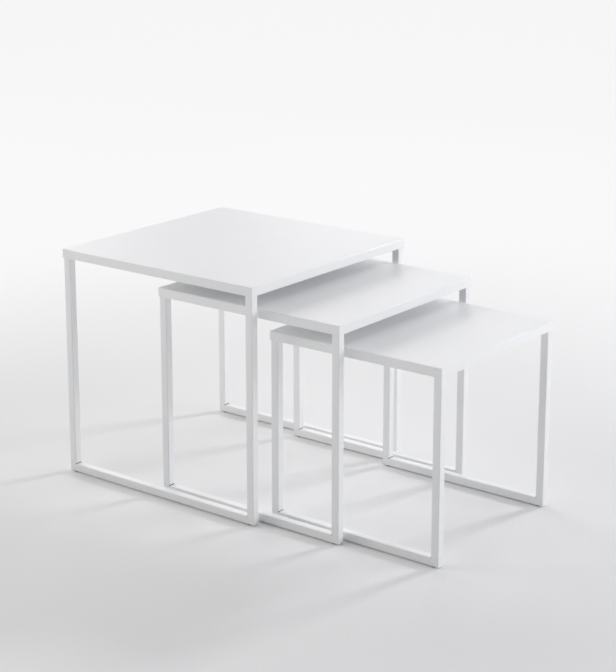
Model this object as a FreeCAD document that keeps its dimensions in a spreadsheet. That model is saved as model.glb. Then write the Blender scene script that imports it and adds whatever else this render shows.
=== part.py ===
import FreeCAD, Part
import os
import re

import Sketcher

# A set of three nesting side tables in folded and welded steel, in millimetres.
# X runs across the tables, between their two side frames. Y is the direction they slide in:
# the smaller tables are pulled out towards -Y. Z is up, with the glides standing on Z = 0.
# The origin is under the middle of the whole set as it stands, pulled out.

DIMENSIONS = (
    ("large_width", 450.0, "outside width and depth of the large tray"),
    ("large_height", 432.0, "floor to the top of the large tray"),
    ("width_step", 48.0, "how much narrower and shallower each next table is"),
    ("height_step", 43.0, "how much lower each next table is"),
    ("medium_pull", 190.0, "medium table's centre, in front of the large one's"),
    ("small_pull", 211.0, "small table's centre, in front of the medium one's"),
    ("sheet_thickness", 1.5, "steel sheet of the trays"),
    ("lip_depth", 16.5, "height of the folded lips, top sheet included"),
    ("bend_radius", 2.0, "outside radius of the folds"),
    ("seam_radius", 1.0, "rounding of the ground corner seams between two lips"),
    ("relief_diameter", 2.6, "bend relief hole at each top corner"),
    ("tube_side", 15.0, "square tube of the side frames, outside"),
    ("tube_wall", 1.5, "wall of the square tube"),
    ("tube_corner", 1.6, "outside corner radius of the square tube"),
    ("glide_diameter", 11.0, "floor glide's pad"),
    ("glide_thickness", 2.0, "how far the glides hold the frame off the floor"),
    ("glide_chamfer", 0.5, "bevel round the pad's lower edge"),
    ("glide_inset", 12.0, "centre of a glide from the end of its rail"),
    ("stem_diameter", 5.0, "glide's stem, pushed into the rail"),
    ("stem_hole", 5.1, "hole in the floor rail for that stem"),
    ("stem_length", 6.0, "length of the stem above the pad"),
    ("stiffener_thickness", 1.2, "steel of the hat channel"),
    ("stiffener_width", 56.0, "hat channel with its two flanges"),
    ("stiffener_crown", 26.0, "width of the hat's crown"),
    ("stiffener_depth", 9.0, "depth of the hat below the sheet"),
    ("stiffener_gap", 6.0, "from the hat's ends to the top rails"),
)

TABLES = ("large", "medium", "small")

doc = FreeCAD.newDocument("NestingTables")
sheet = doc.addObject("Spreadsheet::Sheet", "Dimensions")
for row, (alias, number, meaning) in enumerate(DIMENSIONS, start=1):
    sheet.set(f"A{row}", meaning)
    sheet.set(f"B{row}", str(number))
    sheet.setAlias(f"B{row}", alias)
doc.recompute()

ALIAS = re.compile(r"\b(" + "|".join(entry[0] for entry in DIMENSIONS) + r")\b")
sub_parts = []


# ---------------------------------------------------------------- helpers

def formula(expression):
    """Write the sheet's name before each of its aliases in an expression."""
    return ALIAS.sub(r"Dimensions.\1", str(expression))


def value(expression):
    """The number that an expression gives now."""
    return float(sheet.evalExpression(formula(expression)))


def bind(thing, prop, expression):
    """Tie a property of an object to the dimension sheet."""
    thing.setExpression(prop, formula(expression))


def new_body(label):
    """A sub-part of its own, whose label is its file's and node's name."""
    body = doc.addObject("PartDesign::Body", label)
    body.Label = label
    sub_parts.append(body)
    return body


def place(body, x, y, z, rotation=None):
    """Stand a sub-part where three expressions say, turned by a rotation."""
    if rotation is not None:
        body.Placement = FreeCAD.Placement(FreeCAD.Vector(0, 0, 0), rotation)
    for axis, expression in zip("xyz", (x, y, z)):
        bind(body, f"Placement.Base.{axis}", expression)


def new_sketch(body, plane, name):
    """A sketch on one of the body's own origin planes."""
    support = [o for o in body.Origin.OriginFeatures if o.Role == plane][0]
    sketch = body.newObject("Sketcher::SketchObject", f"{body.Name}_{name}")
    sketch.AttachmentSupport = [(support, "")]
    sketch.MapMode = "FlatFace"
    return sketch


def pin_point(sketch, geometry, vertex, corner):
    """Fix a point of the sketch at two expressions from its origin."""
    for direction, expression in zip(("DistanceX", "DistanceY"), corner):
        pin = Sketcher.Constraint(direction, -1, 1, geometry, vertex, value(expression))
        index = sketch.addConstraint(pin)
        bind(sketch, f"Constraints[{index}]", expression)


def draw_outline(sketch, corners):
    """A closed outline of straight lines through corners given as expressions."""
    first = sketch.GeometryCount
    count = len(corners)
    points = [FreeCAD.Vector(value(x), value(y), 0) for x, y in corners]
    for i in range(count):
        sketch.addGeometry(Part.LineSegment(points[i], points[(i + 1) % count]))
    for i in range(count):
        following = first + (i + 1) % count
        sketch.addConstraint(Sketcher.Constraint("Coincident", first + i, 2, following, 1))
    for i, corner in enumerate(corners):
        pin_point(sketch, first + i, 1, corner)


def draw_rectangle(sketch, width, depth):
    """A rectangle centred on the sketch's origin."""
    right, back = f"({width}) / 2", f"({depth}) / 2"
    left, front = f"-({width}) / 2", f"-({depth}) / 2"
    draw_outline(sketch, [(left, front), (right, front), (right, back), (left, back)])


def draw_circle(sketch, centre, diameter):
    """A circle whose centre and diameter are expressions."""
    x, y = (value(expression) for expression in centre)
    up = FreeCAD.Vector(0, 0, 1)
    circle = Part.Circle(FreeCAD.Vector(x, y, 0), up, value(diameter) / 2)
    geometry = sketch.addGeometry(circle)
    pin_point(sketch, geometry, 3, centre)
    limit = Sketcher.Constraint("Diameter", geometry, value(diameter))
    bind(sketch, f"Constraints[{sketch.addConstraint(limit)}]", diameter)


def pad(body, sketch, length, both_ways=False):
    """Raise a sketch into a solid, on its plane's upper side or half on each side of it."""
    feature = body.newObject("PartDesign::Pad", f"{sketch.Name}_pad")
    feature.Profile = sketch
    bind(feature, "Length", length)
    if both_ways:
        feature.SideType = "Symmetric"
    doc.recompute()
    return feature


def pocket(body, sketch, depth=None, forwards=False):
    """Cut a sketch out of the body: to a depth on one side of its plane, or right through."""
    before = body.Shape.Volume
    feature = body.newObject("PartDesign::Pocket", f"{sketch.Name}_pocket")
    feature.Profile = sketch
    if depth is None:
        feature.SideType = "Symmetric"
        feature.Type = "ThroughAll"
    else:
        bind(feature, "Length", depth)
        feature.Reversed = forwards
    doc.recompute()
    if body.Shape.Volume >= before:
        raise RuntimeError(f"{feature.Name} cuts nothing")


def soften(body, base, kind, prop, size, wanted):
    """A fillet or chamfer on the edges of a feature that pass a test."""
    names = [f"Edge{i}" for i, edge in enumerate(base.Shape.Edges, start=1) if wanted(edge)]
    feature = body.newObject(f"PartDesign::{kind}", f"{base.Name}_{kind.lower()}")
    feature.Base = (base, names)
    bind(feature, prop, size)
    doc.recompute()
    return feature


def is_upright(edge):
    """True for a long edge along Z."""
    return abs(edge.tangentAt(edge.FirstParameter).z) > 0.99 and edge.BoundBox.ZLength > 1.0


def at_height(edge, z):
    """True for an edge that lies flat at that height."""
    box = edge.BoundBox
    return abs(box.ZMin - z) < 1e-4 and abs(box.ZMax - z) < 1e-4


# ---------------------------------------------------------------- each table's own sizes

def table_width(number):
    """Outside width and depth of a tray: 0 is the large table, 2 the small one."""
    return f"(large_width - {number} * width_step)"


def table_height(number):
    """Height of a table, from the floor to the top of its tray."""
    return f"(large_height - {number} * height_step)"


def table_centre_y(number):
    """The tables' middles along Y, with the whole set centred on the origin."""
    pulled = ("", " - medium_pull", " - medium_pull - small_pull")[number]
    return f"((medium_pull + small_pull - width_step) / 2{pulled})"


def frame_depth(number):
    """Length of a side frame, which fits inside the tray's front and rear lips."""
    return f"({table_width(number)} - 2 * sheet_thickness)"


def frame_height(number):
    """Height of a side frame, from the glides' tops to the tray's sheet."""
    return f"({table_height(number)} - sheet_thickness - glide_thickness)"


def frame_x(number):
    """Middle of a side frame's tubes from the middle of the table."""
    return f"({table_width(number)} / 2 - sheet_thickness - tube_side / 2)"


# ---------------------------------------------------------------- tray

def make_tray(name, number):
    """A sheet with four lips folded down and a bend relief hole at each top corner."""
    width = table_width(number)
    tray = new_body(f"{name}_tray_top")

    outline = new_sketch(tray, "XY_Plane", "outline")
    draw_rectangle(outline, width, width)
    block = pad(tray, outline, "lip_depth")
    seams = soften(tray, block, "Fillet", "Radius", "seam_radius", is_upright)
    top = value("lip_depth")
    soften(tray, seams, "Fillet", "Radius", "bend_radius", lambda edge: at_height(edge, top))

    hollow = new_sketch(tray, "XY_Plane", "hollow")
    inside = f"{width} - 2 * sheet_thickness"
    draw_rectangle(hollow, inside, inside)
    pocket(tray, hollow, "lip_depth - sheet_thickness", forwards=True)

    reliefs = new_sketch(tray, "XY_Plane", "reliefs")
    reach = f"({width} / 2 - bend_radius)"
    for side_x in ("-", ""):
        for side_y in ("-", ""):
            draw_circle(reliefs, (side_x + reach, side_y + reach), "relief_diameter")
    reliefs.AttachmentOffset = FreeCAD.Placement(FreeCAD.Vector(0, 0, top), FreeCAD.Rotation())
    bind(reliefs, "AttachmentOffset.Base.z", "lip_depth")
    pocket(tray, reliefs, "2 * sheet_thickness")

    place(tray, "0", table_centre_y(number), f"{table_height(number)} - lip_depth")


def make_stiffener(name, number):
    """A hat channel across the middle of the tray, its flanges spot-welded to the sheet."""
    hat = new_body(f"{name}_tray_stiffener")
    section = new_sketch(hat, "YZ_Plane", "section")
    rim, crown = "stiffener_width / 2", "stiffener_crown / 2"
    gauge, deep = "stiffener_thickness", "stiffener_depth"
    half_outline = [
        (rim, "0"),
        (rim, f"-{gauge}"),
        (crown, f"-{gauge}"),
        (crown, f"-{deep}"),
    ]
    inner_outline = [
        (f"{crown} - {gauge}", "0"),
        (f"{crown} - {gauge}", f"{gauge} - {deep}"),
    ]
    right = half_outline
    left = [(f"-({y})", z) for y, z in reversed(half_outline)]
    hollow_left = [(f"-({y})", z) for y, z in inner_outline]
    hollow_right = list(reversed(inner_outline))
    draw_outline(section, right + left + hollow_left + hollow_right)
    length = f"2 * ({frame_x(number)} - tube_side / 2 - stiffener_gap)"
    pad(hat, section, length, both_ways=True)
    place(hat, "0", table_centre_y(number), f"{table_height(number)} - sheet_thickness")


# ---------------------------------------------------------------- side frames

def make_tube(label, length):
    """A square tube along its own Z, mitred at both ends, its long side facing its own +X."""
    tube = new_body(label)
    section = new_sketch(tube, "XY_Plane", "section")
    draw_rectangle(section, "tube_side", "tube_side")
    draw_rectangle(section, "tube_side - 2 * tube_wall", "tube_side - 2 * tube_wall")
    bar = pad(tube, section, length, both_ways=True)
    half = value("tube_side") / 2

    def is_outer_corner(edge):
        centre = edge.BoundBox.Center
        return is_upright(edge) and min(abs(centre.x), abs(centre.y)) > half - 0.01

    soften(tube, bar, "Fillet", "Radius", "tube_corner", is_outer_corner)

    mitres = new_sketch(tube, "XZ_Plane", "mitres")
    end, side = f"{length} / 2", "tube_side / 2"
    for sign in ("", "-"):
        draw_outline(mitres, [
            (f"{side} + tube_side", f"{sign}({end} + tube_side)"),
            (f"-{side} - tube_side", f"{sign}({end} + tube_side)"),
            (f"-{side} - tube_side", f"{sign}({end} - 2 * tube_side)"),
        ])
    pocket(tube, mitres)
    return tube


def drill_for_glides(rail, length):
    """Two holes through the long side of a floor rail, one near each end."""
    holes = new_sketch(rail, "YZ_Plane", "stem_holes")
    for sign in ("", "-"):
        draw_circle(holes, ("0", f"{sign}({length} / 2 - glide_inset)"), "stem_hole")
    pocket(rail, holes, "tube_side / 2", forwards=True)


OUTWARDS = {
    "front": FreeCAD.Rotation(FreeCAD.Vector(0, 0, 1), -90),
    "rear": FreeCAD.Rotation(FreeCAD.Vector(0, 0, 1), 90),
}
LONG_SIDE_UP = FreeCAD.Rotation(
    FreeCAD.Vector(0, 0, 1), FreeCAD.Vector(1, 0, 0), FreeCAD.Vector(0, 1, 0))
LONG_SIDE_DOWN = FreeCAD.Rotation(
    FreeCAD.Vector(0, 0, -1), FreeCAD.Vector(-1, 0, 0), FreeCAD.Vector(0, 1, 0))


def make_side_frame(name, number, side, sign):
    """Two legs, a floor rail and a top rail, mitred into a closed rectangle."""
    x = f"{sign}{frame_x(number)}"
    y = table_centre_y(number)
    depth, height = frame_depth(number), frame_height(number)
    reach = f"({depth} / 2 - tube_side / 2)"

    for end, direction in (("front", "-"), ("rear", "+")):
        leg = make_tube(f"{name}_{side}_{end}_leg", height)
        middle = f"glide_thickness + {height} / 2"
        place(leg, x, f"{y} {direction} {reach}", middle, OUTWARDS[end])

    floor_rail = make_tube(f"{name}_{side}_floor_rail", depth)
    drill_for_glides(floor_rail, depth)
    place(floor_rail, x, y, "glide_thickness + tube_side / 2", LONG_SIDE_DOWN)

    top_rail = make_tube(f"{name}_{side}_top_rail", depth)
    place(top_rail, x, y, f"glide_thickness + {height} - tube_side / 2", LONG_SIDE_UP)


# ---------------------------------------------------------------- floor glides

def make_glides(name, number):
    """Four glides: a bevelled pad with a stem that is pushed into the floor rail."""
    glides = new_body(f"{name}_glides")
    reach = f"({frame_depth(number)} / 2 - glide_inset)"
    points = [(sx + frame_x(number), sy + reach) for sx in ("-", "") for sy in ("-", "")]
    pads = new_sketch(glides, "XY_Plane", "pads")
    stems = new_sketch(glides, "XY_Plane", "stems")
    for point in points:
        draw_circle(pads, point, "glide_diameter")
        draw_circle(stems, point, "stem_diameter")
    foot = pad(glides, pads, "glide_thickness")
    soften(glides, foot, "Chamfer", "Size", "glide_chamfer", lambda edge: at_height(edge, 0.0))
    pad(glides, stems, "glide_thickness + stem_length")
    place(glides, "0", table_centre_y(number), "0")


# ---------------------------------------------------------------- the three tables

for number, name in enumerate(TABLES):
    make_tray(name, number)
    make_stiffener(name, number)
    make_side_frame(name, number, "left", "-")
    make_side_frame(name, number, "right", "")
    make_glides(name, number)

doc.recompute()

for thing in doc.Objects:
    if {"Invalid", "Error"} & set(thing.State):
        raise RuntimeError(f"{thing.Label} failed: {thing.State}")
for body in sub_parts:
    if body.Shape.isNull() or not body.Shape.isValid():
        raise RuntimeError(f"{body.Label} has no valid shape")

os.makedirs("parts", exist_ok=True)
for body in sub_parts:
    body.Shape.exportStep(f"parts/{body.Label}.step")
    box = body.Shape.BoundBox
    print(f"{body.Label:28s} {len(body.Shape.Solids)} solid(s)"
          f"  X {box.XMin:8.2f} {box.XMax:8.2f}  Y {box.YMin:8.2f} {box.YMax:8.2f}"
          f"  Z {box.ZMin:7.2f} {box.ZMax:7.2f}  {body.Shape.Volume / 1000:8.2f} cm3")
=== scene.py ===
import math

import bpy
from mathutils import Matrix, Vector


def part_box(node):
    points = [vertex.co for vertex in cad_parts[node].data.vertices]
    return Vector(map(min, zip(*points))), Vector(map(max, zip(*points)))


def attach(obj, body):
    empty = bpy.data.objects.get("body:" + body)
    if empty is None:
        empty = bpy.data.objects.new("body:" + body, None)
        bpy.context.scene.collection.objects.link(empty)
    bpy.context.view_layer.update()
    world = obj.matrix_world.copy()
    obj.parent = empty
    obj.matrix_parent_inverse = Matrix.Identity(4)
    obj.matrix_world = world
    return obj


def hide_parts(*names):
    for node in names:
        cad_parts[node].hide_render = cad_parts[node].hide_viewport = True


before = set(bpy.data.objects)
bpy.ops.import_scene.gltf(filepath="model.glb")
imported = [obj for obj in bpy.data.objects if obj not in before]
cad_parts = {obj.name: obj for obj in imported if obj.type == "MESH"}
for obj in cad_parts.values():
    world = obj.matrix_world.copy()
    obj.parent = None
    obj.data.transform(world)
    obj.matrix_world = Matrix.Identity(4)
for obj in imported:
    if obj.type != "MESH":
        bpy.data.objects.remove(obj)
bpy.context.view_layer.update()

# A set of three nesting side tables in folded sheet and welded square tube, powder-coated white.
# Metres, in the row frame: X across the tables, the smaller ones pulled out towards -Y, Z up.

MM = 0.001
TABLES = ("large", "medium", "small")
SIDES = ("left", "right")

# ---------------------------------------------------------------- sizes that the looks add

SHEET = 1.5 * MM            # steel sheet of the trays
FOLD_RADIUS = 2.0 * MM      # outside of the folds
SEAM_RADIUS = 1.0 * MM      # ground corner seams between two lips
LIP_EDGE = 0.3 * MM         # coating rounded over the lips' cut edges
LEAST_CORNER = 0.12 * MM    # smallest corner radius, where a ring runs inside the seam's own
BEND_MARGIN = 1.0 * MM      # flat strip beside a bend, which keeps its shading to itself
TOP_MARGIN = 1.2 * MM       # the same on the sheet's large top face
RELIEF_RADIUS = 1.3 * MM    # bend relief hole in each top corner
TUBE_WALL = 1.5 * MM
TUBE_CORNER = 1.6 * MM      # rounded corners of the square tube
TUBE_INNER_CORNER = 0.4 * MM
SEAM_LINE = 0.12 * MM       # what is left to see of a ground mitre
INNER_SLOT = 0.95 * MM      # the inside of a mitre isn't welded and stays a little open
SLOT_STEEPNESS = 3.0        # it is fully open a third of the way round the tube's corner
HAT_GAUGE = 1.2 * MM        # steel of the stiffener, a hat channel under the sheet
HAT_CROWN = 26 * MM         # outside width of the hat
HAT_BEND = 1.8 * MM         # its bends, at the middle of the steel
HAT_EDGE = 0.25 * MM        # coating rounded over its cut ends
SPOT_WELD_PITCH = 52 * MM
SPOT_WELD_RADII = (2.1 * MM, 3.0 * MM)
SPOT_WELD_DEPTH = 0.22 * MM
STITCH_LENGTH = 24 * MM     # stitch welds from the top rails to the sheet
STITCH_LEG = 3.4 * MM
STITCH_PLACES = (-0.40, -0.17, 0.17, 0.40)      # as parts of the rail's length
STITCH_RIPPLE = 2.1 * MM    # from one ripple of the weld bead to the next
STITCH_ROOT = 0.3 * MM      # how far the weld reaches into the rail and sheet
STITCH_HEEL = 0.9 * MM      # the same into the rail at its foot
STITCH_RINGS = 35           # sections along one weld
STITCH_ARC = 7              # points across its face
GLIDE_RADIUS = 5.5 * MM
STEM_HOLE_RADIUS = 2.55 * MM
ARC_STEPS = 8               # straight steps in a quarter turn


# ---------------------------------------------------------------- mesh helpers

def quarter(centre, radius, start, steps=ARC_STEPS):
    """Points of a quarter circle, turning left from a start angle in degrees."""
    points = []
    for i in range(steps + 1):
        angle = math.radians(start + 90.0 * i / steps)
        points.append((centre[0] + radius * math.cos(angle),
                       centre[1] + radius * math.sin(angle)))
    return points


def rounded_rectangle(half_x, half_y, radius, steps=ARC_STEPS):
    """Outline of a rectangle with rounded corners, turning left from the right side."""
    x, y = half_x - radius, half_y - radius
    return (quarter((x, y), radius, 0, steps) + quarter((-x, y), radius, 90, steps)
            + quarter((-x, -y), radius, 180, steps) + quarter((x, -y), radius, 270, steps))


def stitch(faces, first, second, count, flip=False):
    """Quads between two rings of points, given by where each ring starts."""
    for i in range(count):
        j = (i + 1) % count
        quad = (first + i, first + j, second + j, second + i)
        faces.append(quad[::-1] if flip else quad)


def smooth(mesh, angle=35.0):
    """Round shading, apart from edges sharper than an angle in degrees."""
    mesh.shade_smooth()
    mesh.set_sharp_from_angle(angle=math.radians(angle))


def new_piece(name, points, faces, body, materials, stands_for=()):
    """A mesh that rides on a table and may stand for CAD nodes."""
    mesh = bpy.data.meshes.new(name)
    mesh.from_pydata([tuple(p) for p in points], [], faces)
    mesh.validate()
    piece = bpy.data.objects.new(name, mesh)
    bpy.context.scene.collection.objects.link(piece)
    for material in materials:
        mesh.materials.append(material)
    smooth(mesh)
    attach(piece, body)
    if stands_for:
        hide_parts(*stands_for)
    return piece


def add_turned(points, faces, x, y, rings, steps=24):
    """A closed turned shape about an upright axis: rings of (radius, height), the lowest first
    where the shape is plain, and always with the outside on the right of the way they go."""
    first = len(points)
    for radius, z in rings:
        for i in range(steps):
            angle = 2 * math.pi * i / steps
            points.append((x + radius * math.cos(angle), y + radius * math.sin(angle), z))
    for i in range(len(rings) - 1):
        stitch(faces, first + i * steps, first + (i + 1) * steps, steps)
    last = first + (len(rings) - 1) * steps
    faces.append(tuple(range(first, first + steps))[::-1])
    faces.append(tuple(range(last, last + steps)))


def apply_modifiers(piece):
    """Make the modified mesh the piece's own."""
    bpy.context.view_layer.update()
    graph = bpy.context.evaluated_depsgraph_get()
    made = bpy.data.meshes.new_from_object(piece.evaluated_get(graph))
    old = piece.data
    piece.modifiers.clear()
    piece.data = made
    made.name = old.name + "_made"
    bpy.data.meshes.remove(old)


def cut_away(piece, points, faces):
    """Take a closed shape out of a piece for good."""
    mesh = bpy.data.meshes.new("cutter")
    mesh.from_pydata(points, [], faces)
    cutter = bpy.data.objects.new("cutter", mesh)
    bpy.context.scene.collection.objects.link(cutter)
    cut = piece.modifiers.new("cut", "BOOLEAN")
    cut.operation = "DIFFERENCE"
    cut.solver = "EXACT"
    cut.object = cutter
    apply_modifiers(piece)
    bpy.data.objects.remove(cutter)
    bpy.data.meshes.remove(mesh)
    smooth(piece.data)


def mark_edges(piece, weights):
    """How near each vertex is to a bend or corner, where the coating thins, from 0 to 1."""
    attribute = piece.data.attributes.new("edge", "FLOAT", "POINT")
    attribute.data.foreach_set("value", weights)


# ---------------------------------------------------------------- materials

def new_material(name):
    material = bpy.data.materials.new(name)
    material.use_nodes = True
    tree = material.node_tree
    return material, tree, tree.nodes["Principled BSDF"]


def node(tree, kind, **sockets):
    """A new node with the given values on its input sockets."""
    made = tree.nodes.new(kind)
    for socket, setting in sockets.items():
        made.inputs[socket.replace("_", " ")].default_value = setting
    return made


def noise(tree, where, scale, detail=2.0):
    made = node(tree, "ShaderNodeTexNoise", Scale=scale, Detail=detail)
    tree.links.new(where, made.inputs["Vector"])
    return made.outputs["Fac"]


def spread(tree, source, low, high, to_low, to_high, curve="LINEAR"):
    """Stretch the part of a value from low to high over another range."""
    made = node(tree, "ShaderNodeMapRange", From_Min=low, From_Max=high,
                To_Min=to_low, To_Max=to_high)
    made.interpolation_type = curve
    tree.links.new(source, made.inputs["Value"])
    return made.outputs["Result"]


def blend_colours(tree, factor, first, second):
    """Mix two colours, each a plain colour or another node's output, by a factor."""
    made = tree.nodes.new("ShaderNodeMix")
    made.data_type = "RGBA"
    for socket, colour in ((made.inputs[6], first), (made.inputs[7], second)):
        if isinstance(colour, tuple):
            socket.default_value = (*colour, 1.0)
        else:
            tree.links.new(colour, socket)
    tree.links.new(factor, made.inputs[0])
    return made.outputs[2]


def bumps(tree, shader, layers):
    """Stack bump nodes, each a height source with its depth in metres and strength."""
    previous = None
    for height, depth, strength in layers:
        made = node(tree, "ShaderNodeBump", Distance=depth, Strength=strength)
        tree.links.new(height, made.inputs["Height"])
        if previous is not None:
            tree.links.new(previous, made.inputs["Normal"])
        previous = made.outputs["Normal"]
    tree.links.new(previous, shader.inputs["Normal"])


EDGE_ROUGHNESS = 0.27       # the coat flows out smoother over folds and edges


def powder_coat():
    """White satin powder coat: a fine orange peel, faint cloudiness, thinner over the edges."""
    material, tree, shader = new_material("white_powder_coat")
    where = tree.nodes.new("ShaderNodeTexCoord").outputs["Object"]
    cloud = spread(tree, noise(tree, where, 9.0, 3.0), 0.3, 0.7, 0.0, 1.0)
    colour = blend_colours(tree, cloud, (0.865, 0.872, 0.880), (0.885, 0.890, 0.896))
    speck = spread(tree, noise(tree, where, 620.0, 3.0), 0.60, 0.78, 0.0, 0.22)
    colour = blend_colours(tree, speck, colour, (0.80, 0.80, 0.80))
    edge = tree.nodes.new("ShaderNodeAttribute")
    edge.attribute_name = "edge"
    thin = spread(tree, edge.outputs["Fac"], 0.0, 1.0, 0.0, 0.10)
    colour = blend_colours(tree, thin, colour, (0.79, 0.80, 0.815))
    tree.links.new(colour, shader.inputs["Base Color"])
    haze = spread(tree, noise(tree, where, 26.0, 4.0), 0.3, 0.7, 0.385, 0.435)
    rubbed = tree.nodes.new("ShaderNodeMix")
    tree.links.new(edge.outputs["Fac"], rubbed.inputs["Factor"])
    tree.links.new(haze, rubbed.inputs["A"])
    rubbed.inputs["B"].default_value = EDGE_ROUGHNESS
    tree.links.new(rubbed.outputs["Result"], shader.inputs["Roughness"])
    peel = noise(tree, where, 480.0, 2.0)
    grain = noise(tree, where, 1900.0, 3.0)
    bumps(tree, shader, ((peel, 0.00012, 0.22), (grain, 0.00005, 0.22)))
    shader.inputs["IOR"].default_value = 1.5
    return material


def bare_steel():
    """Uncoated, slightly scaled steel inside the tubes."""
    material, tree, shader = new_material("bare_steel_inside")
    where = tree.nodes.new("ShaderNodeTexCoord").outputs["Object"]
    scale = spread(tree, noise(tree, where, 160.0, 5.0), 0.35, 0.65, 0.0, 1.0)
    colour = blend_colours(tree, scale, (0.045, 0.042, 0.040), (0.085, 0.075, 0.068))
    tree.links.new(colour, shader.inputs["Base Color"])
    rough = spread(tree, noise(tree, where, 90.0, 3.0), 0.3, 0.7, 0.55, 0.75)
    tree.links.new(rough, shader.inputs["Roughness"])
    bumps(tree, shader, ((noise(tree, where, 900.0, 4.0), 0.0001, 0.4),))
    shader.inputs["Metallic"].default_value = 0.6
    return material


def moulded_plastic():
    """Black polyethylene of the glides, a little scuffed."""
    material, tree, shader = new_material("glide_plastic")
    where = tree.nodes.new("ShaderNodeTexCoord").outputs["Object"]
    scuff = spread(tree, noise(tree, where, 700.0, 4.0), 0.52, 0.75, 0.0, 1.0)
    colour = blend_colours(tree, scuff, (0.018, 0.018, 0.020), (0.055, 0.054, 0.054))
    tree.links.new(colour, shader.inputs["Base Color"])
    rough = spread(tree, noise(tree, where, 400.0, 3.0), 0.3, 0.7, 0.42, 0.62)
    tree.links.new(rough, shader.inputs["Roughness"])
    bumps(tree, shader, ((noise(tree, where, 2600.0, 3.0), 0.00004, 0.4),))
    return material


BACKDROP = 0.91             # how bright the background is all round
BACKDROP_COLOUR = (0.985, 0.985, 1.0)
BACKDROP_REACH = (0.65, 2.1)    # where the floor starts to turn into it, and has


def floor_paper():
    """Pale matt floor with a faint grain, which turns into a lit background further out."""
    material, tree, shader = new_material("floor_paper")
    where = tree.nodes.new("ShaderNodeTexCoord").outputs["Object"]
    distance = tree.nodes.new("ShaderNodeVectorMath")
    distance.operation = "LENGTH"
    tree.links.new(where, distance.inputs[0])
    out = spread(tree, distance.outputs["Value"], *BACKDROP_REACH, 0.0, 1.0, "SMOOTHSTEP")
    cloud = spread(tree, noise(tree, where, 1.3, 4.0), 0.3, 0.7, 0.0, 1.0)
    colour = blend_colours(tree, cloud, (0.815, 0.815, 0.818), (0.835, 0.835, 0.837))
    fleck = spread(tree, noise(tree, where, 330.0, 3.0), 0.35, 0.65, 0.0, 0.5)
    colour = blend_colours(tree, fleck, colour, (0.76, 0.76, 0.763))
    colour = blend_colours(tree, out, colour, (0.0, 0.0, 0.0))
    tree.links.new(colour, shader.inputs["Base Color"])
    rough = spread(tree, noise(tree, where, 60.0, 3.0), 0.3, 0.7, 0.80, 0.92)
    tree.links.new(rough, shader.inputs["Roughness"])
    bumps(tree, shader, ((noise(tree, where, 240.0, 4.0), 0.0008, 0.40),))
    shader.inputs["Specular IOR Level"].default_value = 0.2
    glow = spread(tree, out, 0.0, 1.0, 0.0, BACKDROP)
    tree.links.new(glow, shader.inputs["Emission Strength"])
    shader.inputs["Emission Color"].default_value = (*BACKDROP_COLOUR, 1.0)
    return material


COAT = powder_coat()
STEEL = bare_steel()
PLASTIC = moulded_plastic()
PAPER = floor_paper()


# ---------------------------------------------------------------- tray

def make_tray(name):
    """The folded sheet: rings of points from the inside of the sheet round to its top."""
    low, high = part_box(f"{name}_tray_top")
    half = (high.x - low.x) / 2
    middle_y = (low.y + high.y) / 2
    top, bottom = high.z, low.z
    inner_radius = FOLD_RADIUS - SHEET

    # The lip's section as (distance in from the outside face, height), with its edge weight.
    section = []
    for x, z in quarter((-SHEET - inner_radius, top - SHEET - inner_radius), inner_radius, 0)[::-1]:
        section.append((-x, z, 0.0))
    section.append((SHEET, bottom + LIP_EDGE, 0.0))
    for x, z in quarter((-SHEET + LIP_EDGE, bottom + LIP_EDGE), LIP_EDGE, 180, 3):
        section.append((-x, z, 1.0))
    for x, z in quarter((-LIP_EDGE, bottom + LIP_EDGE), LIP_EDGE, 270, 3):
        section.append((-x, z, 1.0))
    section.append((0.0, bottom + 3 * LIP_EDGE, 0.0))
    section.append((0.0, top - FOLD_RADIUS - BEND_MARGIN, 0.0))
    for x, z in quarter((-FOLD_RADIUS, top - FOLD_RADIUS), FOLD_RADIUS, 0):
        section.append((-x, z, 1.0))
    section.append((FOLD_RADIUS + TOP_MARGIN, top, 0.0))

    points, weights, faces = [], [], []
    for inset, z, weight in section:
        corner = max(SEAM_RADIUS - inset, LEAST_CORNER)
        ring = rounded_rectangle(half - inset, half - inset, corner)
        count = len(ring)
        points += [(x, middle_y + y, z) for x, y in ring]
        weights += [weight] * count
    for i in range(len(section) - 1):
        stitch(faces, i * count, (i + 1) * count, count)

    # The flat sheet, above and below, as one large face each.
    faces.append(tuple(range(count))[::-1])
    last = (len(section) - 1) * count
    faces.append(tuple(range(last, last + count)))

    tray = new_piece(f"{name}_tray", points, faces, f"{name}_table",
                     (COAT,), (f"{name}_tray_top",))
    mark_edges(tray, weights)
    drill_reliefs(tray, half, middle_y, top)


def drill_reliefs(tray, half, middle_y, top):
    """Small holes where the fold lines cross."""
    reach = half - FOLD_RADIUS
    points, faces = [], []
    for sx in (-1, 1):
        for sy in (-1, 1):
            add_turned(points, faces, sx * reach, middle_y + sy * reach,
                       ((RELIEF_RADIUS, top - 2 * SHEET), (RELIEF_RADIUS, top + SHEET)))
    cut_away(tray, points, faces)


# ---------------------------------------------------------------- square tube

def tube_section(half, corner, steps=6):
    """Outline of the tube, with an extra point at each end of a flat, before the corner.
    Each point is (outwards, sideways, edge weight)."""
    outline = []
    flat = half - corner
    close = flat - BEND_MARGIN
    for turn in range(4):
        angle = 90 * turn
        turned = Matrix.Rotation(math.radians(angle), 2)
        for point, weight in (((half, -close), 0.0), ((half, close), 0.0)):
            outline.append((*(turned @ Vector(point)), weight))
        for x, y in quarter((flat, flat), corner, 0, steps):
            outline.append((*(turned @ Vector((x, y))), 1.0))
    return outline


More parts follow.
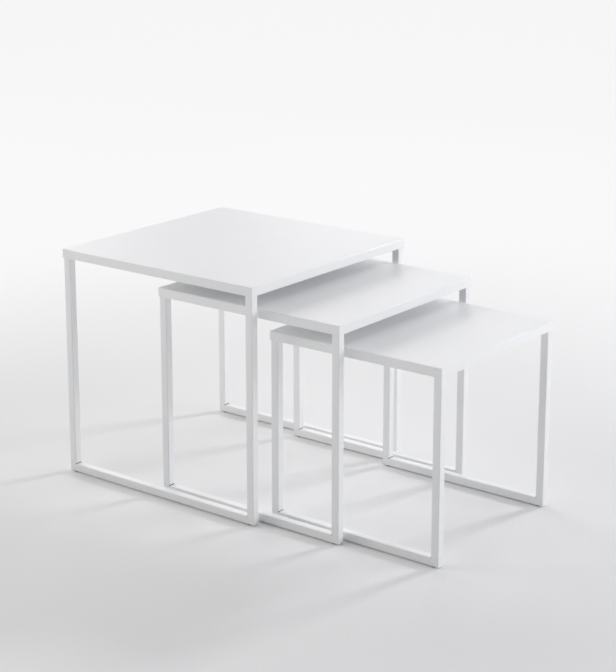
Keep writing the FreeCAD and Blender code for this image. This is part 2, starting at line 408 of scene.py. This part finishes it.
def make_tube(name, body, along, outwards):
    """A mitred tube in place of a CAD one, with bare steel inside and its inner slot.
    along and outwards are the directions of its length and of its long side."""
    node_name = f"{body}_{name}"
    low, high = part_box(node_name)
    middle = (low + high) / 2
    size = high - low
    length = max(size)
    side = min(size)
    half = side / 2
    across = along.cross(outwards)

    outer = tube_section(half, TUBE_CORNER)
    inner = tube_section(half - TUBE_WALL, TUBE_INNER_CORNER)
    count = len(outer)
    points, weights, faces, kinds = [], [], [], []

    def add_ring(outline, sign, back, shrink):
        """One ring near an end: back from the mitre plane, drawn in, and cut at the inside."""
        for u, v, weight in outline:
            scale = (half - shrink) / half
            u, v = u * scale, v * scale
            reach = length / 2 - half + u - back
            if u < -half + TUBE_CORNER:
                opening = (-half + TUBE_CORNER - u) / TUBE_CORNER * SLOT_STEEPNESS
                reach -= INNER_SLOT * min(1.0, opening)
            point = middle + outwards * u + across * v + along * (sign * reach)
            points.append(point)
            weights.append(weight)

    # Rings from the bare inside at one end, over the wall's end, along the outside and back.
    rings = (
        (inner, -1, 0.0, 0.0), (outer, -1, 0.0, SEAM_LINE),
        (outer, -1, SEAM_LINE, 0.0), (outer, -1, BEND_MARGIN, 0.0),
        (outer, 1, BEND_MARGIN, 0.0), (outer, 1, SEAM_LINE, 0.0),
        (outer, 1, 0.0, SEAM_LINE), (inner, 1, 0.0, 0.0),
    )
    for ring in rings:
        add_ring(*ring)
    for i in range(len(rings)):
        stitch(faces, i * count, ((i + 1) % len(rings)) * count, count)
        bare = i in (0, len(rings) - 2, len(rings) - 1)
        kinds += [1 if bare else 0] * count
    tube = new_piece(f"{node_name}_tube", points, faces, f"{body}_table",
                     (COAT, STEEL), (node_name,))
    tube.data.polygons.foreach_set("material_index", kinds)
    mark_edges(tube, weights)
    return tube


X, Y, Z = Vector((1, 0, 0)), Vector((0, 1, 0)), Vector((0, 0, 1))


def make_side_frame(table, side):
    make_tube(f"{side}_front_leg", table, Z, -Y)
    make_tube(f"{side}_rear_leg", table, Z, Y)
    floor_rail = make_tube(f"{side}_floor_rail", table, Y, -Z)
    cut_away(floor_rail, *drill_for_glides(side, table))
    make_tube(f"{side}_top_rail", table, Y, Z)


# ---------------------------------------------------------------- stiffener under the tray

def folded_line(corners, radius, steps=6):
    """Points along a bent strip's middle line with their left-hand normals, its turns rounded."""
    line = []

    def add(point, heading):
        line.append((point, Vector((-heading.y, heading.x))))

    corners = [Vector(corner) for corner in corners]
    first_way = (corners[1] - corners[0]).normalized()
    add(corners[0], first_way)
    for before, corner, after in zip(corners, corners[1:], corners[2:]):
        way_in = (corner - before).normalized()
        way_out = (after - corner).normalized()
        side = 1.0 if way_in.cross(way_out) > 0 else -1.0
        centre = corner - way_in * radius + Vector((-way_in.y, way_in.x)) * side * radius
        for i in range(steps + 1):
            turn = Matrix.Rotation(side * math.pi / 2 * i / steps, 2)
            heading = turn @ way_in
            add(centre - Vector((-heading.y, heading.x)) * side * radius, heading)
    add(corners[-1], (corners[-1] - corners[-2]).normalized())
    return line


def make_stiffener(table):
    """The hat channel, folded from strip, with the dents of its spot welds."""
    low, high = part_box(f"{table}_tray_stiffener")
    middle_y = (low.y + high.y) / 2
    gauge, rim, wall = HAT_GAUGE / 2, (high.y - low.y) / 2, HAT_CROWN / 2 - HAT_GAUGE / 2
    flange, crown = high.z - gauge, low.z + gauge
    line = folded_line(((rim, flange), (wall, flange), (wall, crown),
                        (-wall, crown), (-wall, flange), (-rim, flange)), HAT_BEND)
    count = 2 * len(line)
    points, weights, faces = [], [], []
    for x, shrink in ((low.x, HAT_EDGE), (low.x + HAT_EDGE, 0.0),
                      (high.x - HAT_EDGE, 0.0), (high.x, HAT_EDGE)):
        for side in (1, -1):
            for point, normal in line[::side]:
                y, z = point + normal * side * (gauge - shrink)
                points.append((x, middle_y + y, z))
                weights.append(1.0 if shrink or point in (line[0][0], line[-1][0]) else 0.0)
    for i in range(3):
        stitch(faces, i * count, (i + 1) * count, count, flip=True)
    last = 3 * count
    for i in range(len(line) - 1):
        strip = (i, i + 1, count - 2 - i, count - 1 - i)
        faces.append(strip)
        faces.append(tuple(last + corner for corner in strip)[::-1])
    hat = new_piece(f"{table}_hat_stiffener", points, faces, f"{table}_table",
                    (COAT,), (f"{table}_tray_stiffener",))
    mark_edges(hat, weights)

    # Spot welds in a row down the middle of each flange, dented from below.
    dents, dent_faces = [], []
    number = round((high.x - low.x) / SPOT_WELD_PITCH)
    small, large = SPOT_WELD_RADII
    face = flange - gauge
    for i in range(number):
        x = (i - (number - 1) / 2) * SPOT_WELD_PITCH
        for side in (-1, 1):
            add_turned(dents, dent_faces, x, middle_y + side * (rim + HAT_CROWN / 2) / 2,
                       ((2 * large - small, face - SPOT_WELD_DEPTH),
                        (small, face + SPOT_WELD_DEPTH)))
    cut_away(hat, dents, dent_faces)


def make_stitch_welds(table, side):
    """Short rippled fillets where a top rail meets the underside of the sheet."""
    low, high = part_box(f"{table}_{side}_top_rail")
    inwards = 1 if side == "left" else -1
    face_x = high.x if side == "left" else low.x
    middle_y, length, under = (low.y + high.y) / 2, high.y - low.y, high.z
    points, faces = [], []
    for place in STITCH_PLACES:
        start = len(points)
        for i in range(STITCH_RINGS):
            along = i / (STITCH_RINGS - 1)
            ends = min(1.0, math.sqrt(max(0.0, math.sin(math.pi * along))) * 1.5)
            ripple = abs(math.sin(math.pi * along * STITCH_LENGTH / STITCH_RIPPLE))
            leg = STITCH_LEG * (0.35 + 0.65 * ends) * (0.93 + 0.07 * ripple)
            section = [(-STITCH_HEEL, -STITCH_ROOT), (leg, -STITCH_ROOT)]
            for j in range(STITCH_ARC):
                angle = math.pi / 2 * j / (STITCH_ARC - 1)
                reach = leg * (1.0 - 0.16 * math.sin(2 * angle))
                section.append((reach * math.cos(angle), reach * math.sin(angle)))
            section.append((-STITCH_ROOT, leg))
            y = middle_y + place * length + (along - 0.5) * STITCH_LENGTH
            points += [(face_x + inwards * away, y, under - down) for away, down in section]
        count = len(section)
        flip = side == "right"
        for i in range(STITCH_RINGS - 1):
            stitch(faces, start + i * count, start + (i + 1) * count, count, flip)
        ends = (tuple(range(start, start + count)),
                tuple(range(start + (STITCH_RINGS - 1) * count,
                            start + STITCH_RINGS * count))[::-1])
        faces += [end if flip else end[::-1] for end in ends]
    new_piece(f"{table}_{side}_stitch_welds", points, faces, f"{table}_table",
              (COAT,))


# ---------------------------------------------------------------- floor glides

def glide_places(table):
    """Where the four glides of a table stand."""
    low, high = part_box(f"{table}_glides")
    return [(x, y) for x in (low.x + GLIDE_RADIUS, high.x - GLIDE_RADIUS)
            for y in (low.y + GLIDE_RADIUS, high.y - GLIDE_RADIUS)]


def make_glides(table):
    """Moulded glides: a dished pad with a rounded rim, and a barbed stem up into the rail.
    The profile is (radius, height) in millimetres, from the middle of the foot up."""
    profile = [(1.9, 0.55), (2.6, 0.50), (3.1, 0.20), (3.5, 0.02), (3.8, 0.0), (4.6, 0.0)]
    profile += [(4.6 + 0.9 * math.sin(math.radians(a)), 0.9 - 0.9 * math.cos(math.radians(a)))
                for a in (20, 40, 60, 75, 90)]
    profile += [(5.5, 1.55), (5.4, 1.82), (5.15, 1.97), (4.9, 2.0), (2.75, 2.0), (2.35, 2.2)]
    for barb in (3.7, 4.9, 6.1):
        profile += [(2.2, barb), (2.5, barb + 0.25), (2.45, barb + 0.45), (2.2, barb + 1.0)]
    profile += [(2.0, 7.5), (1.5, 7.9), (1.2, 8.0)]
    rings = [(radius * MM, z * MM) for radius, z in profile]
    points, faces = [], []
    for x, y in glide_places(table):
        add_turned(points, faces, x, y, rings, steps=40)
    new_piece(f"{table}_floor_glides", points, faces, f"{table}_table",
              (PLASTIC,), (f"{table}_glides",))


def drill_for_glides(side, table):
    """The two holes under a side's floor rail that its glides' stems go up, as one cutter."""
    low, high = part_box(f"{table}_{side}_floor_rail")
    points, faces = [], []
    for x, y in glide_places(table):
        if low.x < x < high.x:
            add_turned(points, faces, x, y, ((STEM_HOLE_RADIUS, low.z - TUBE_WALL),
                                             (STEM_HOLE_RADIUS, low.z + 2 * TUBE_WALL)))
    return points, faces


for table in TABLES:
    make_tray(table)
    make_stiffener(table)
    for side in SIDES:
        make_side_frame(table, side)
        make_stitch_welds(table, side)
    make_glides(table)


# ---------------------------------------------------------------- floor, light and camera

FLOOR_RINGS = (0.6, 1.5, 4.0, 14.0)     # radii, the last one its rim
FLOOR_STEPS = 96


def make_floor():
    """A wide round floor, so that every side view has it as its background."""
    mesh = bpy.data.meshes.new("floor")
    points, faces = [], []
    for radius in FLOOR_RINGS:
        for i in range(FLOOR_STEPS):
            angle = 2 * math.pi * i / FLOOR_STEPS
            points.append((radius * math.cos(angle), radius * math.sin(angle), 0.0))
    faces.append(tuple(range(FLOOR_STEPS)))
    for i in range(len(FLOOR_RINGS) - 1):
        stitch(faces, i * FLOOR_STEPS, (i + 1) * FLOOR_STEPS, FLOOR_STEPS, flip=True)
    mesh.from_pydata(points, [], faces)
    mesh.materials.append(PAPER)
    floor = bpy.data.objects.new("floor", mesh)
    bpy.context.scene.collection.objects.link(floor)


def softbox(name, bearing, height_angle, distance, size, power, colour, aim):
    """A square soft light: bearing from +X turning towards +Y, height angle above the floor."""
    lamp = bpy.data.lights.new(name, "AREA")
    lamp.shape = "SQUARE"
    lamp.size = size
    lamp.energy = power
    lamp.color = colour
    thing = bpy.data.objects.new(name, lamp)
    bpy.context.scene.collection.objects.link(thing)
    turn, rise = math.radians(bearing), math.radians(height_angle)
    way = Vector((math.cos(turn) * math.cos(rise), math.sin(turn) * math.cos(rise),
                  math.sin(rise)))
    thing.location = Vector(aim) + way * distance
    thing.rotation_euler = way.to_track_quat("Z", "Y").to_euler()
    thing.visible_camera = False


LIGHTS = (
    # name, bearing, height angle, distance, size, power, colour, aim
    ("key", -20.0, 32.0, 4.0, 0.7, 54.0, (0.99, 0.985, 1.0), (0.0, 0.0, 0.15)),
    ("front_low", -60.0, 13.0, 4.0, 1.4, 53.0, (0.95, 0.955, 1.0), (0.0, 0.0, 0.15)),
    ("front", -90.0, 33.0, 4.0, 2.0, 24.0, (0.90, 0.93, 1.0), (0.0, 0.0, 0.15)),
    ("right_low", 30.0, 13.0, 4.0, 1.4, 11.0, (0.99, 0.985, 1.0), (0.0, 0.0, 0.15)),
    ("back", 65.0, 30.0, 5.0, 3.0, 100.0, (0.99, 0.985, 1.0), (0.1, 0.5, 0.15)),
    ("back_left", 125.0, 30.0, 4.5, 2.4, 68.0, (1.0, 0.99, 0.97), (0.0, 0.4, 0.15)),
    ("left", 160.0, 32.0, 4.0, 1.4, 13.0, (1.0, 0.985, 0.95), (0.0, 0.0, 0.15)),
    ("far_back", 38.0, 42.0, 7.5, 4.0, 60.0, (0.985, 0.975, 1.0), (3.0, 2.3, 0.0)),
    ("overhead", 0.0, 90.0, 4.0, 2.0, 20.0, (0.985, 0.985, 1.0), (0.0, 0.0, 0.15)),
)
WORLD_STRENGTH = 0.05       # the dim room as light on the tables; a low view shows the backdrop

CAMERA_PLACE = (-2.4543, -1.8935, 1.2136)
CAMERA_TILT = 76.1          # degrees up from straight down
CAMERA_TURN = -52.26        # degrees from looking along +Y
FOCAL_LENGTH = 95.38        # on a sensor 36 wide
SENSOR_WIDTH = 36.0
FRAME_SHIFT = -0.128        # the photograph's frame sits low, as a part of its longer side
FAR_CLIP = 60.0
VIEW_GAMMA = 1.3            # lifts the mid-tones towards the photograph's pale ones


def make_lights():
    for light in LIGHTS:
        softbox(*light)
    world = bpy.data.worlds.new("studio")
    bpy.context.scene.world = world
    world.use_nodes = True
    tree = world.node_tree
    background = tree.nodes["Background"]
    background.inputs["Color"].default_value = (*BACKDROP_COLOUR, 1.0)
    seen = tree.nodes.new("ShaderNodeLightPath").outputs["Is Camera Ray"]
    strength = spread(tree, seen, 0.0, 1.0, WORLD_STRENGTH, BACKDROP)
    tree.links.new(strength, background.inputs["Strength"])


def make_camera():
    """Seen from the front left and a little above, with a long lens."""
    lens = bpy.data.cameras.new("camera")
    lens.sensor_width = SENSOR_WIDTH
    lens.lens = FOCAL_LENGTH
    lens.shift_y = FRAME_SHIFT
    lens.clip_end = FAR_CLIP
    camera = bpy.data.objects.new("camera", lens)
    bpy.context.scene.collection.objects.link(camera)
    camera.location = CAMERA_PLACE
    camera.rotation_euler = (math.radians(CAMERA_TILT), 0.0, math.radians(CAMERA_TURN))
    bpy.context.scene.camera = camera


make_floor()
make_lights()
make_camera()
bpy.context.scene.view_settings.view_transform = "Standard"
bpy.context.scene.view_settings.gamma = VIEW_GAMMA
